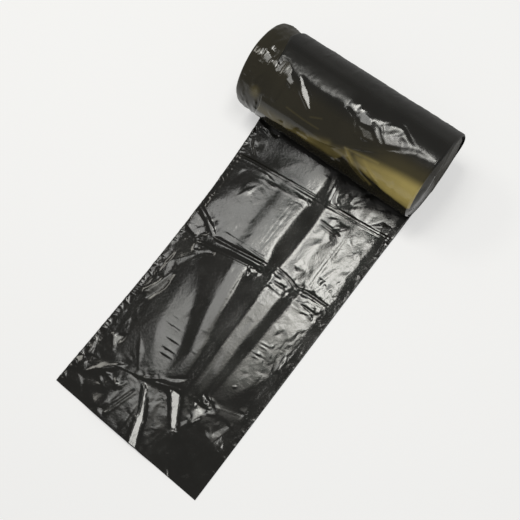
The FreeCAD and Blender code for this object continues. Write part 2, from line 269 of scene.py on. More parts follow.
# Sections across the tail: places along X, and heights over the flat film.
NEAR = ((WEB_LEFT, -1.2), (-80, -1), (-6, 3), (-1, 3.1), (12, 3.1), (27, 1),
        (50, -0.7), (75, -1.8), (104, -1.5), (WEB_RIGHT, -1.8))
MIDDLE_TOP = ((WEB_LEFT, -1.2), (-82, 1.3), (-30, 1.2), (-19, 1.8), (13, 1.8), (31, -0.6),
              (50, -0.4), (66, -1.1), (73, -1.4), (99, -0.6), (WEB_RIGHT, -1.4))
MIDDLE = ((WEB_LEFT, -1.2), (-82, 1.3), (-28, 1.1), (-17, 1.75), (10.5, 1.8), (33, -1.1),
          (50, -0.8), (66, -1.5), (73, -1.65), (99, -0.8), (WEB_RIGHT, -1.5))
MIDDLE_FOOT = ((WEB_LEFT, -1.2), (-82, 1.3), (-26, 1.1), (-15, 1.7), (16, 1.6), (32, -0.5),
               (50, -0.3), (66, -1), (73, -1.2), (101, -0.6), (WEB_RIGHT, -1.4))
FAN_TOP = ((WEB_LEFT, -1.7), (-82, -1.7), (-49, 0.5), (-31, 2.2), (-12, 4.2), (3, 4.3),
           (33, 0.3), (52, 0.4), (66, -1), (100, -0.7), (WEB_RIGHT, -1.5))
FAN_UPPER = ((WEB_LEFT, -1.7), (-82, -1.7), (-49, 0.5), (-34, 1.4), (-7, 4.1), (7.5, 4.2),
             (34, 0.5), (51, 0.6), (64, -0.7), (99, -0.6), (WEB_RIGHT, -1.5))
FAN_MIDDLE = ((WEB_LEFT, -1.7), (-82, -1.7), (-43, 0.5), (-17, 1.3), (1, 3.3), (13.5, 3.4),
              (35, 0.5), (50, 0.6), (63, -0.7), (96, -0.6), (WEB_RIGHT, -1.5))
FAN_LOW = ((WEB_LEFT, -1.7), (-84, -1.7), (-36, 1), (-2, 1.1), (12, 2.9), (22, 3),
           (36, 1.1), (52, 1.1), (61, 0.1), (82, 0.1), (WEB_RIGHT, -1.6))
FAN_FOOT = ((WEB_LEFT, -1.5), (-84, -1.4), (-14, 1.6), (-1, 1.7), (16, 2.4), (24, 2.4),
            (37, 0.4), (50, 0.4), (57, -0.6), (68, -0.7), (WEB_RIGHT, -1.4))
END = ((WEB_LEFT, -1.2), (-80, 0.2), (-20, 0.8), (48, 0.3), (WEB_RIGHT, -1.1))

# The sections between the seal and the slanted crease, each with its place along Y.
MIDDLE_STATIONS = ((-85, MIDDLE_TOP), (-105, MIDDLE), (-150, MIDDLE), (-168, MIDDLE_FOOT))
FAN_STATIONS = ((-200, FAN_TOP), (-226, FAN_UPPER), (-262, FAN_MIDDLE), (-300, FAN_LOW),
                (-336, FAN_FOOT))
# How far the film rises towards the roll.
NEAR_RISE = ((-80, 0), (-70, 0.4), (-60, 1.3), (-50, 2.7), (-42, 4.5), (-34, 6.6))
# The tail's outline, against the straight rectangle.
LEFT_EDGE = ((-410, 0), (-330, 1.2), (-260, 1.7), (-180, 0.6), (-140, -1), (-90, -4.6),
             (-60, -6.8), (-36, -8.4))
RIGHT_EDGE = ((-410, -1.4), (-250, -1.9), (-100, -2.3), (-40, -1.8))
FREE_EDGE = ((WEB_LEFT, -2), (WEB_RIGHT, -4.8))


def tail_field(xs, ys):
    field = Field(xs, ys)
    x, y = field.x, field.y
    past_seal = ramp(line_height(SEAL, x) - y, -1.5, 1.5)
    past_crease = ramp(line_height(CREASE, x) - y, -4.0, 12.0)
    past_slant = ramp(line_height(SLANT, x) - y, -2.0, 2.0)
    near = line_height(NEAR, x) + line_height(NEAR_RISE, y)
    field.height += near * (1.0 - past_seal)
    field.height += middle_heights(x, y) * past_seal * (1.0 - past_crease)
    field.height += lofted(x, y, FAN_STATIONS) * past_crease * (1.0 - past_slant)
    field.height += end_heights(x, y) * past_slant
    field.height = evened(field.height, (3, 2))

    add_tail_creases(field)
    add_crumples(field, TAIL_CRUMPLES)
    add_side_puckers(field)
    add_facets(field)
    add_crumples(field, FINE_CRUMPLES)
    field.soften()
    return field


def middle_heights(x, y):
    heights = lofted(x, y, MIDDLE_STATIONS)
    # The film's left part falls away from a slanted line.
    slanted = line_height(((-165.0, -86.0), (-98.0, -50.0)), y)
    return heights - 0.045 * np.clip(slanted - x, 0.0, None) * ramp(y, -166.0, -158.0)


def end_heights(x, y):
    # The free end lifts a little in the middle.
    lift = 0.052 * window(x, -40.0, 46.0, 12.0)
    return line_height(END, x) + lift * np.clip(-352.0 - y, 0.0, None)


# Flat facets of the tail: their corners, and their slopes along X and Y.
TAIL_FACETS = (
    # Near the roll.
    (((47, -61), (60, -40), (64, -41), (53, -62)), (0, 0.14)),
    (((27, -57), (41, -72), (30, -74)), (0.06, 0.12)),
    (((-86, -62), (-82, -61), (-69, -79), (-74, -80)), (0.17, 0.16)),
    (((-84, -42), (-64, -44), (-66, -48), (-82, -47)), (-0.03, 0.17)),
    (((-75, -100), (-69, -97), (-71, -112)), (-0.03, 0.04)),
    # At the crumpled crease.
    (((-88, -170), (-70, -174), (-58, -184), (-70, -196), (-86, -192)), (-0.03, -0.01)),
    (((-87, -165), (-85, -163), (-47, -182), (-50, -185)), (-0.03, -0.01)),
    (((49, -177), (56, -178), (54, -183), (48, -181)), (-0.01, -0.03)),
    (((4, -186), (19, -186), (18, -189), (6, -191)), (-0.04, 0.02)),
    (((-13, -200), (-5, -199), (-7, -206)), (-0.06, 0.01)),
    (((-63, -202), (-55, -203), (-60, -210)), (-0.10, 0.01)),
    (((-61, -209), (-58, -211), (-36, -199), (-39, -197)), (-0.01, 0.04)),
    (((33, -178), (50, -177), (50, -182), (34, -183)), (-0.02, -0.03)),
    (((68, -178), (98, -177), (98, -183), (69, -184)), (0.01, -0.03)),
    # Left of the fan.
    (((-60, -242), (-58, -262), (-66, -284), (-76, -280)), (-0.11, 0.02)),
    # At the slanted crease and on the free end.
    (((-11, -354), (-8, -350), (29, -323), (27, -328)), (0.03, -0.07)),
    (((18, -345), (33, -341), (53, -374), (46, -377)), (-0.21, -0.15)),
    (((-8, -357), (1, -361), (20, -388), (12, -390)), (-0.235, -0.15)),
    (((8, -387), (18, -386), (36, -420), (22, -420)), (-0.24, -0.165)),
    (((50, -338), (66, -336), (64, -350), (60, -364), (56, -352)), (-0.01, -0.11)),
    (((-72, -337), (-58, -329), (-60, -351)), (-0.10, -0.10)),
    (((-86, -343), (-81, -342), (-76, -370), (-80, -373)), (-0.12, -0.12)),
    (((-12, -370), (-8.5, -370), (-19, -406), (-23, -405)), (0.21, -0.13)),
    (((67, -406), (72, -405), (80, -415), (75, -416)), (-0.18, -0.18)),
)


def add_facets(field):
    for corners, slopes in TAIL_FACETS:
        field.facet(corners, slopes[0] * field.x + slopes[1] * field.y)


# Creases of the tail that fade towards both ends: their ends, rise and slopes, and, for some, the share of
# the way at which they peak, and how round they fade.
TAIL_TENTS = (
    # Near the roll.
    ((82, -70), (108, -58), 0.9, (0.12, 0.1)),
    ((-86, -47), (-70, -52), 0.9, (0.3, 0.4)),
    # At the seal.
    ((-76, -91.5), (-30, -91), 0.4, (0.2, 0.25)),
    ((-56, -88), (-43, -90.5), 0.6, (0.3, 0.3), 0.7),
    ((-46, -98), (-24, -97.5), 0.6, (0.4, 0.3)),
    ((48, -100), (68, -84), 0.6, (0.08, 0.2)),
    ((8, -84), (16, -93), 0.9, (0.4, 0.5)),
    # Past the seal.
    ((-46, -104), (-60, -132), 0.35, (0.05, 0.08)),
    # At the crumpled crease.
    ((-90, -162), (-45, -185), 1.3, (0.25, 0.5), 0.5, 0.5),
    ((5, -187), (9, -199), 0.9, (0.4, 0.3)),
    # In the fan.
    ((-50, -206), (-88, -252), 0.5, (0.06, 0.06)),
    ((4, -200), (10, -246), -0.2, (0.15, 0.15), 0.5, 0.6),
    ((96, -235), (99, -260), 0.6, (0.2, 0.3)),
    ((70, -302), (76, -299), 0.4, (0.3, 0.2)),
    # At the slanted crease.
    ((-13, -354), (-7, -350.5), 1, (0.4, 0.4)),
    # On the free end.
    ((2, -372), (4, -416), 0.4, (0.2, 0.06), 0.6),
    ((-46, -318), (-22, -350), 0.4, (0.07, 0.12)),
    ((-52, -374), (-34, -376), 0.9, (0.25, 0.4)),
    ((-38, -370), (-27, -383), 1, (0.2, 0.5)),
    ((-64, -378), (-36, -388), 0.6, (0.2, 0.3)),
    ((60, -350), (44, -398), 0.8, (0.05, 0.12)),
    ((98, -330), (84, -392), 0.8, (0.06, 0.06)),
    ((-34, -352), (-74, -392), 0.9, (0.1, 0.14)),
)
# Creases of the tail of even height: their bends, rise and slopes.
TAIL_RIDGES = (
    # At the seal.
    (((-52, -98.5), (-28, -96), (13, -93)), 0.18, (0.018, 0.3)),
    (((33, -97), (64, -99.5)), 0.6, (0.4, 0.5)),
    (((35, -102.5), (62, -103.5)), 0.35, (0.3, 0.4)),
    # At the crumpled crease.
    (((-50, -184), (-20, -180), (19, -174)), 1.5, (0.5, 0.42)),
    (((-64, -199), (-30, -193), (14, -185)), 0.9, (0.22, 0.5)),
    (((-46, -172.5), (16, -169.5)), 0.3, (0.15, 0.3)),
    (((28, -169), (50, -171.5), (60, -175), (72, -172), (104, -171)), 0.7, (0.45, 0.5)),
    (((30, -174.5), (47, -174), (56, -178), (70, -176.5)), 0.5, (0.4, 0.5)),
    (((32, -184), (52, -185)), 0.4, (0.05, 0.4)),
    (((34, -190.5), (52, -191.5)), 0.4, (0.3, 0.4)),
    (((66, -180), (80, -177), (98, -176.5)), 0.4, (0.3, 0.4)),
    (((70, -185.5), (97, -184.5)), 0.5, (0.08, 0.5)),
    (((74, -189), (95, -188.5)), 0.4, (0.3, 0.5)),
    # At the slanted crease.
    (((-50, -362.5), (-10, -353.5)), 0.5, (0.10, 0.5)),
    (((-6, -353), (20, -343.5), (33, -338)), 0.6, (0.2, 0.6)),
    (((33, -338.5), (60, -333), (75, -328.5), (103, -319)), 0.15, (0.2, 0.5)),
)
# Crumpled film of the tail: two corners of a box, the spacing, rise and seed of its facets, and, where
# it is drawn out, its stretch and its soft border.
TAIL_CRUMPLES = (
    # Near the roll.
    ((-90, -88), (-66, -36), 6, 0.3, 1),
    ((-70, -84), (110, -36), 15, 0.15, 2),
    ((24, -80), (113, -36), 7, 0.06, 3),
    # At the seal.
    ((-80, -99), (14, -84), 6, 0.10, 4, (2.2, 1), 3),
    # Past the seal.
    ((-84, -172), (-26, -92), 9, 0.06, 5),
    ((-50, -172), (12, -92), 6, 0.035, 6),
    ((33, -170), (72, -76), 9, 0.09, 7),
    ((64, -172), (104, -80), 4.5, 0.075, 8, (1, 1.6)),
    ((66, -176), (112, -142), 4, 0.13, 9),
    # At the crumpled crease.
    ((28, -198), (60, -164), 4, 0.16, 10, (2.2, 1), 3),
    ((62, -198), (108, -164), 4, 0.16, 11, (2.2, 1), 3),
    ((-89, -212), (-48, -160), 7, 0.22, 12, (1.3, 1)),
    ((-50, -200), (20, -168), 6, 0.12, 13, (3, 1), 3),
    # In the fan.
    ((62, -300), (102, -196), 5.5, 0.09, 14),
    ((66, -250), (100, -205), 4, 0.11, 15, (1, 1.5)),
    ((32, -260), (54, -196), 6, 0.05, 16),
    ((-60, -345), (60, -200), 14, 0.06, 17, (1, 2)),
    ((-88, -345), (-54, -200), 12, 0.12, 18, (1, 1.6)),
    ((86, -330), (112, -200), 12, 0.12, 19),
    # At the slanted crease.
    ((48, -342), (78, -320), 4, 0.35, 20, (1.4, 1), 4),
    ((-18, -360), (8, -340), 5, 0.15, 21, (1, 1), 4),
    # On the free end.
    ((-89, -413), (-10, -345), 9, 0.22, 22),
    ((-14, -414), (52, -346), 8, 0.07, 23, (1, 1.4)),
    ((76, -413), (113, -322), 7, 0.14, 24, (1, 1.3)),
    ((40, -413), (90, -345), 14, 0.2, 25),
)
# The same for the finest wrinkles, which lie over the flat facets as well.
FINE_CRUMPLES = (
    ((-96, -420), (-50, -160), 4, 0.05, 61),
    ((20, -200), (112, -160), 3.5, 0.10, 62, (1.6, 1)),
    ((-60, -418), (90, -330), 5, 0.05, 63),
    ((-92, -204), (-52, -160), 4.5, 0.16, 64, (1.5, 1), 4),
)
# Small pleats that lie across the fan: their place along Y, their two ends and their rise.
SMALL_PLEATS = (
    (-279.5, -36, -10, 0.14), (-289, -34, -4, 0.2), (-292, -30, -8, 0.1),
    (-302, -22, 1, 0.3), (-312.5, -20, 3, 0.35), (-319, -16, 3, 0.35),
    (-273, 6, 16, 0.15), (-298, 12, 22, 0.12), (-212, 34, 46, 0.12),
    (-245, 64, 80, 0.25), (-249, 66, 78, 0.2), (-258, 64, 80, 0.3),
    (-262.5, 66, 76, 0.25),
)


def add_tail_creases(field):
    for shift in (1.4, -1.4):
        field.ridge([(x, y + shift) for x, y in SEAL], 0.6, (0.5, 0.5))
    for points, rise, slopes in TAIL_RIDGES:
        field.ridge(points, rise, slopes)
    for start, end, *shape in TAIL_TENTS:
        field.tent(start, end, *shape)
    # Faint lines along the two middle pleats.
    for x in (-2.5, 2.0):
        field.tent((x, -96.0), (x + 0.5, -170.0), -0.08, (0.08, 0.08), 0.5, 0.8)
    for x in (67.5, 70.5):
        field.tent((x, -100.0), (x + 1.0, -168.0), 0.1, (0.08, 0.08), 0.5, 0.8)
    for y, left, right, rise in SMALL_PLEATS:
        field.tent((left, y - 1.0), (right, y + 1.0), rise, (0.08, 0.2), 0.4, 0.3)


def add_crumples(field, crumples):
    for low, high, *shape in crumples:
        field.crumple(low, high, *shape)


def add_side_puckers(field):
    """The crumpled side folds."""
    random = np.random.default_rng(31)
    for y in np.arange(-42.0, -408.0, -5.5):
        reach = random.uniform(4.0, 12.0)
        tilt = random.uniform(-6.0, 6.0)
        rise = random.uniform(0.4, 1.2)
        field.tent((WEB_LEFT - 2.0, y), (WEB_LEFT + reach, y + tilt), rise, (0.3, 0.4), 0.3)
    for y in np.arange(-60.0, -400.0, -17.0):
        reach = random.uniform(5.0, 10.0)
        tilt = random.uniform(-3.0, 3.0)
        field.tent((WEB_RIGHT + 2.0, y), (WEB_RIGHT - reach, y + tilt), 0.3, (0.2, 0.3), 0.3)
    field.crumple((-96.0, -416.0), (-78.0, -34.0), 5.0, 0.25, 32)
    field.crumple((104.0, -416.0), (120.0, -34.0), 7.0, 0.2, 33)


# The outermost turn

# The outermost turn's left edge: angles from the top towards the front, and places along X.
EDGE_LINE = ((-180, WEB_LEFT), (-90, WEB_LEFT - 2), (-30, -94.5), (-6, -88), (35, -84),
             (72, -84), (108, -94), (180, WEB_LEFT))
# Past this angle the roll rests on the floor, and nothing stands out of it.
FOOT_TURN = 150.0
# How far the film stands out of the plain roll, over its back and past its two ends.
TOP_BULGE = 1.6
LEFT_BULGE = 3.0
RIGHT_BULGE = 1.8


def chord(turn, first, last):
    """The height of a flat facet between two angles, which lies below the round roll."""
    half = np.radians(last - first) / 2.0
    offset = np.radians(np.clip(turn, first, last) - (first + last) / 2.0)
    return RADIUS * (np.cos(half) / np.cos(offset) - 1.0)


# Flat facets of the outermost turn: their corners by X and by the angle from the top, their slope along X,
# and the angle that they face.
ROLL_FACETS = (
    # The two long facets on the left, and the gathered edge beside them.
    (((-85, 0), (-77, -1), (-66, 9), (-57, 20), (-58, 27), (-67, 24),
      (-79, 13)), -0.03, 11),
    (((-58, 7), (-50, 8), (-35, 21), (-24, 39), (-32, 37), (-47, 26)), -0.30, 9),
    (((-94, 4), (-88, 5), (-87.5, 18), (-93, 18)), -0.13, 7),
    (((-93, 19), (-87.5, 19), (-87, 33), (-92, 33)), -0.13, 8),
    # The short ones in the middle.
    (((2, -1), (5, -1), (5, 14), (3, 14)), -0.05, 7),
    (((13, -3), (17, -3), (16, 10), (13, 9)), -0.05, 7),
    (((5, 9), (14, 13), (17, 20), (9, 15)), 0.04, 12),
    (((17, 15), (22, 16), (30, 33), (25, 30)), -0.24, 9),
    (((21, 5), (34, 7), (38, 14), (27, 17)), 0.05, 12),
    (((24, 18), (42, 16), (52, 27), (36, 31)), -0.03, 14),
    # The diamond, its inside first.
    (((47, 5), (60, 24), (75, 15), (84, 4), (67, -6), (57, -4)), 0.01, 9.5),
    (((56, -7), (49, -4), (37, 8), (44, 9)), -0.02, 7),
    (((37, 8), (46, 9), (61, 27), (54, 26), (44, 17)), -0.02, 10),
    (((58, -12), (66, -12), (89, 4), (82, 4)), 0.09, 9),
    # The bent ridge.
    (((59, 29), (75, 17), (80, 20), (66, 28)), 0.08, 12),
    (((75, 17), (90, 8), (94, 13), (80, 20)), 0.02, 11),
    (((90, 8), (114, 5), (114, 10.5), (94, 13)), 0.03, 10),
)

# Creases of the outermost turn: their two ends by X and by the angle from the top, and their shape.
ROLL_CREASES = (
    ((-68, -9), (-50, 12), -0.5, (0.4, 0.4)),
    ((-60, 27), (-48, 30), 0.8, (0.5, 0.4)),
    ((66, 15), (78, 9), 0.5, (0.4, 0.3)),
    # The bent ridge, and the folds that hang from it.
    ((14, 56), (70, 27), 1.4, (0.7, 0.5), 0.5, 0.4),
    ((-12, 67), (30, 51), 1, (0.4, 0.5)),
    ((24, 49), (44, 68), 1.1, (0.3, 0.5)),
    ((38, 62), (68, 80), 1.1, (0.3, 0.5)),
    ((50, 54), (80, 72), 0.9, (0.3, 0.5)),
    ((-52, 50.5), (-10, 51.5), 0.6, (0.5, 0.78), 0.5, 0.6),
    ((25, 50.5), (64, 45), 1, (0.5, 0.75), 0.5, 0.6),
    ((-88, 82), (20, 70), 0.9, (0.3, 0.2)),
    ((-30, 82), (50, 76), 0.9, (0.3, 0.3)),
)
# Where folds run down the foot of the front, along X.
FOOT_FOLDS = (-60, -20, 2, 26, 52, 84)
# Crumpled film of the outermost turn: two corners of a box by X and by the angle, and its shape, first what
# lies below the flat facets and then what lies over them.
ROLL_CRUMPLES = (
    ((-92, -18), (6, 13), 3, 0.10, 41, (1, 1.5), 4),
    ((-92, 6), (112, 66), 14, 0.12, 42),
    ((0, -8), (42, 24), 7, 0.12, 43),
    ((40, -14), (88, 28), 7, 0.06, 44),
    ((-94, 60), (114, 150), 9, 0.45, 45),
    ((-94, -100), (114, -22), 4, 0.2, 46, (1, 3)),
    ((-94, -178), (114, -80), 9, 0.35, 47),
    ((70, 6), (114, 80), 8, 0.14, 48),
)
FACET_CRUMPLES = (
    ((-96, -14), (116, 40), 4.5, 0.04, 49),
    ((44, -10), (90, 26), 7, 0.22, 50),
)


def roll_grid(right):
    """A flat field round the whole roll, from its left end to a place along X."""
    xs = np.arange(ROLL_LEFT, right, STEP)
    ys = np.arange(-HALF_ROUND * TURN - 2.0, HALF_ROUND * TURN + 3.0, STEP)
    return Field(xs, ys)


def unrolled(x, turn):
    """A place on the field round the roll, from X and the angle."""
    return x, turn * TURN


def gather_slope(turn):
    """The slope of a gather's upper flank that faces nearly straight up, at an angle on the roll."""
    return math.tan(math.radians(max(turn - 6.0, 4.0)))


def add_roll_bulge(field):
    """The film's swell over the back, and the broad flats of the front, where it is taut."""
    turn = field.y / TURN
    field.height += TOP_BULGE * window(turn, -105.0, -28.0, 16.0)
    flat_start = 8.0 + 1.6 * np.sin(0.19 * field.x) + 1.1 * np.sin(0.43 * field.x + 1.0)
    field.height += 0.9 * chord(turn, flat_start, 57.0) * window(field.x, -110.0, 18.0, 8.0)
    field.height += chord(turn, 10.5, 33.0) * window(field.x, 88.0, 130.0, 7.0)
    field.height += 0.8 * chord(turn, 22.0, 58.0) * window(field.x, 24.0, 60.0, 12.0)
    field.height = evened(field.height, (4, 2))


def add_roll_creases(field):
    for start, end, *shape in ROLL_CREASES:
        field.tent(unrolled(*start), unrolled(*end), *shape)
    for x in FOOT_FOLDS:
        field.tent(unrolled(x, 76.0), unrolled(x + 2.0, 120.0), 0.7, (0.25, 0.25), 0.4, 0.4)
    # The gathered left edge.
    for turn in range(2, 42, 6):
        slope = gather_slope(turn)
        field.tent(unrolled(-98.0, turn + 1.0), unrolled(-91.0, turn), 2.0 * slope, (1.2, slope), 0.4)


def add_roll_crumples(field, crumples):
    for low, high, *shape in crumples:
        field.crumple(unrolled(*low), unrolled(*high), *shape)


def add_roll_facets(field):
    """Lays the flat facets, each on a plane whose height over the round roll is worked out all round."""
    for corners, slope, facing in ROLL_FACETS:
        middle_x = sum(x for x, _ in corners) / len(corners)
        middle_turn = sum(turn for _, turn in corners) / len(corners)
        depth = RADIUS * math.cos(math.radians(middle_turn - facing)) + slope * (field.x - middle_x)
        offset = np.clip(field.y / TURN - facing, -60.0, 60.0)
        places = [unrolled(*corner) for corner in corners]
        field.facet(places, depth / np.cos(np.radians(offset)) - RADIUS)


def outer_field():
    """Heights of the outermost turn over the plain roll."""
    field = roll_grid(ROLL_RIGHT + 1.0)
    add_roll_bulge(field)
    add_roll_creases(field)
    add_roll_crumples(field, ROLL_CRUMPLES)
    add_roll_facets(field)
    add_roll_crumples(field, FACET_CRUMPLES)
    field.soften()
    return field


# The painted golden sheen: its upper and lower borders by the angle from the top, and its strength, along
# X.
SHEEN_TOP = ((-60, 66), (-5, 63), (10, 58), (30, 49), (60, 43), (90, 38),
            (113, 36))
SHEEN_FOOT = ((-85, 82), (-30, 78), (20, 74), (27, 62), (50, 66), (75, 72),
             (113, 77))
SHEEN_STRENGTH = ((-90, 0.14), (-30, 0.22), (5, 0.26), (30, 0.24), (60, 0.6), (85, 0.82),
                 (113, 0.88))
# Lines of painted highlight and painted shade along the folds in the painted sheen: the line's bends, its
# width and how much it adds.
SHEEN_AND_SHADE_LINES = (
    (((27, 52), (40, 65), (65, 78)), 1.8, 0.22),
    (((30, 60), (44, 72), (58, 79)), 1.4, 0.14),
    (((36, 54), (52, 66), (78, 74)), 2.4, -0.16),
    (((50, 52), (62, 60), (88, 67)), 2.4, 0.12),
    (((25, 51), (44, 48), (64, 44)), 1.2, 0.16),
    (((-52, 50), (-30, 51.5), (-10, 51)), 0.8, 0.07),
    (((-26, 74), (-8, 64), (6, 59)), 4, 0.16),
    (((-24, 44), (-12, 38)), 0.9, 0.06),
)


def painted_sheen_share(x, turn):
    """Where the film has its painted golden sheen, under the bent ridge and along the foot of the left
    part.
    """
    top = line_height(SHEEN_TOP, x)
    foot = line_height(SHEEN_FOOT, x)
    inside = ramp(turn, top - 4.0, top + 10.0) * (1.0 - ramp(turn, foot - 3.0, foot + 3.0))
    # A thin, greyer painted sheen reaches up to the ridge.
    upper = 0.08 * ramp(turn, top - 26.0, top) * ramp(x, 40.0, 80.0) * (1.0 - ramp(turn, 70.0, 80.0))
    # A faint golden tint over the front.
    front = 0.03 * ramp(turn, 8.0, 30.0) * (1.0 - ramp(turn, 110.0, 140.0))
    share = inside * line_height(SHEEN_STRENGTH, x) + upper + front
    for line, width, strength in SHEEN_AND_SHADE_LINES:
        share += strength * line_share(x, turn, line, width)
    return np.clip(share, 0.0, 1.0)


def line_share(x, turn, line, width):
    """1 on a bent line over the roll, falling to 0 beside it; the width is in millimetres."""
    share = np.zeros_like(x)
    for start, end in zip(line, line[1:]):
        way_x, way_y = unrolled(end[0] - start[0], end[1] - start[1])
        from_x, from_y = unrolled(x - start[0], turn - start[1])
        along = np.clip((from_x * way_x + from_y * way_y) / (way_x**2 + way_y**2), 0.0, 1.0)
        away = np.hypot(from_x - along * way_x, from_y - along * way_y)
        share = np.maximum(share, np.exp(-((away / width) ** 2)))
    return share


def haze_share(x, turn):
    """The back and top of the roll, and bands along the top of its front, are duller than the rest."""
    band = 0.6 * window(turn, -16.0, 8.0, 5.0) * window(x, -88.0, 4.0, 10.0)
    right = 0.22 * window(turn, -14.0, 22.0, 6.0) * ramp(x, 34.0, 54.0)
    return np.maximum(1.35 * ramp(-turn, 12.0, 34.0), np.maximum(band, right))


# The inner turns

# Where the inner turns stop showing below the outermost one, and where their hidden part starts, along X.
SHOWN_END = -66.0
HIDDEN_START = -60.0
# The rims of the inner turns: how far in from the end each point lies, and how far below their radius.
LEFT_RIM = ((1.1, 2.4), (1.3, 1.7), (1.7, 1.1), (2.4, 0.7), (3.4, 0.35), (5, 0.15), (7, 0.05),
            (9, 0))
RIGHT_RIM = ((4, 1.2), (2.2, 1.2), (1.6, 1.6), (1.3, 2.3))
# The two end faces: how far in from the roll's box they lie, how far below the inner turns' radius they
# start, and how many rings of vertices they have, down to a small flat middle.
LEFT_FACE = 1.0
RIGHT_FACE = 1.3
LEFT_BEVEL = 4.0
RIGHT_BEVEL = 3.0
LEFT_RINGS = 76
RIGHT_RINGS = 84
MIDDLE_RADIUS = 0.3
# The spacing of the turns' edges on an end, and a shift of their waves round it.
END_PITCH = 2.3
END_SHIFT = 1.3


def inner_field():
    """Heights of the inner turns where they show past the outermost one."""
    field = roll_grid(HIDDEN_START)
    random = np.random.default_rng(51)
    for _ in range(150):
        x = random.uniform(-113.0, -88.0)
        y = random.uniform(-175.0, 175.0) * TURN
        run = random.uniform(6.0, 26.0)
        lean = random.normal(1.0, 2.0)
        rise = random.uniform(0.3, 0.9)
        field.tent((x, y), (x + lean, y + run), rise, (0.25, 0.3), 0.5, 0.4)
    for turn in range(0, 44, 7):
        slope = gather_slope(turn)
        x = random.uniform(-112.0, -100.0)
        field.tent(unrolled(x, turn), unrolled(x + 8.0, turn + 1.0), 2.4 * slope, (1.2, slope), 0.4)
    low = unrolled(ROLL_LEFT - 4.0, -182.0)
    high = unrolled(-70.0, 182.0)
    field.crumple(low, high, 5.0, 0.30, 52, (1.0, 2.0), 2.0)
    field.soften()
    return field


def inner_profile():
    """The inner turns from the middle of one end to that of the other: X, radius, and which end it is."""
    left_radii = np.linspace(MIDDLE_RADIUS, INNER_RADIUS - LEFT_BEVEL, LEFT_RINGS)
    right_radii = np.linspace(INNER_RADIUS - RIGHT_BEVEL, MIDDLE_RADIUS, RIGHT_RINGS)
    profile = [(ROLL_LEFT + LEFT_FACE, radius, 1.0) for radius in left_radii]
    profile += [(ROLL_LEFT + run, INNER_RADIUS - drop, 0.0) for run, drop in LEFT_RIM]
    profile += [(x, INNER_RADIUS, 0.0) for x in np.arange(ROLL_LEFT + 10.0, SHOWN_END, STEP)]
    profile += [(HIDDEN_START, HIDDEN_RADIUS, 0.0), (ROLL_RIGHT - 8.0, HIDDEN_RADIUS, 0.0)]
    profile += [(ROLL_RIGHT - run, INNER_RADIUS - drop, 0.0) for run, drop in RIGHT_RIM]
    profile += [(ROLL_RIGHT - RIGHT_FACE, radius, -1.0) for radius in right_radii]
    return np.array(profile)


def end_relief(radius, turn):
    """How far the edges of the single turns stand out of an end."""
    phase = radius / END_PITCH - turn / 360.0
    wave = phase - np.floor(phase)
    wobble = np.sin(np.radians(turn) * 3.0 + END_SHIFT + radius * 0.21)
    wobble += 0.6 * np.sin(np.radians(turn) * 7.0 + radius * 0.5)
    layer = np.sin(np.floor(phase) * 12.9 + END_SHIFT * 3.7)
    return 1.1 * wave + 0.7 * layer + 0.3 * wobble


def raised_inner(x, radius, side, turn):
    """The inner turns with their wrinkles, the swell over the back, and the turns' edges on both ends."""
    near_axis = ramp(radius, 1.0, 5.0)
    wrinkle = inner_field().sample(x, turn * TURN)
    shown = np.where(side == 0.0, 1.0 - ramp(x, -72.0, SHOWN_END), 0.0)
    radius = radius + np.clip(wrinkle, -1.5, 1.6) * shown
    past_web = 1.0 - ramp(x, WEB_LEFT - 18.0, WEB_LEFT)
    swell = TOP_BULGE * window(turn, -105.0, 20.0, 16.0) * ramp(radius, 30.0, INNER_RADIUS - 3.0)
    radius = radius + swell * past_web
    bulge = LEFT_BULGE * window(turn, -125.0, 90.0, 25.0)
    x = x - bulge * past_web * ramp(radius, 20.0, 45.0)
    x = x - side * end_relief(radius, turn) * near_axis
    return x, radius


# Meshes

def mesh_object(name, vertices, faces):
    mesh = bpy.data.meshes.new(name)
    mesh.from_pydata(vertices, [], faces)
    mesh.polygons.foreach_set("use_smooth", np.ones(len(mesh.polygons), bool))
    mesh.update()
    piece = bpy.data.objects.new(name, mesh)
    bpy.context.scene.collection.objects.link(piece)
    return piece


def grid_faces(rows, columns, round_columns=False):
    """Four-sided faces between neighbouring rows and columns of a grid of vertices."""
    index = np.arange(rows * columns).reshape(rows, columns)
    if round_columns:
        index = np.concatenate([index, index[:, :1]], axis=1)
    corners = (index[:-1, :-1], index[:-1, 1:], index[1:, 1:], index[1:, :-1])
    return np.stack([corner.ravel() for corner in corners], axis=1).tolist()


def set_share(piece, name, shares):
    """Gives a mesh's vertices a value each, for its material."""
    attribute = piece.data.attributes.new(name, "FLOAT", "POINT")
    values = np.zeros(len(piece.data.vertices))
    values[:shares.size] = shares.ravel()
    attribute.data.foreach_set("value", values)


# The tail's least height over the floor, its least gap below the roll, and its greatest height.
LEAST_GAP = 0.3
GREATEST_RISE = 8.0
# How far in from the tail's sides and from its free edge the outline's shifts fade out.
SIDE_FADE = 30.0
END_FADE = 40.0
# How far the outermost turn drops at its two side edges, over what width, and how far its end is tucked in.
LEFT_DROP = 1.2
LEFT_WIDTH = 1.6
RIGHT_DROP = 1.8
RIGHT_WIDTH = 2.4
TUCK = 0.7
# Vertices along and round the outermost turn, and round the inner ones.
OUTER_COLUMNS = 236
OUTER_ROWS = 372
INNER_COLUMNS = 320


def grid_rim(rows, columns):
    """The vertices round the border of a grid, once round."""
    index = np.arange(rows * columns).reshape(rows, columns)
    return np.concatenate([index[0, :], index[1:, -1], index[-1, -2::-1], index[-2:0:-1, 0]])


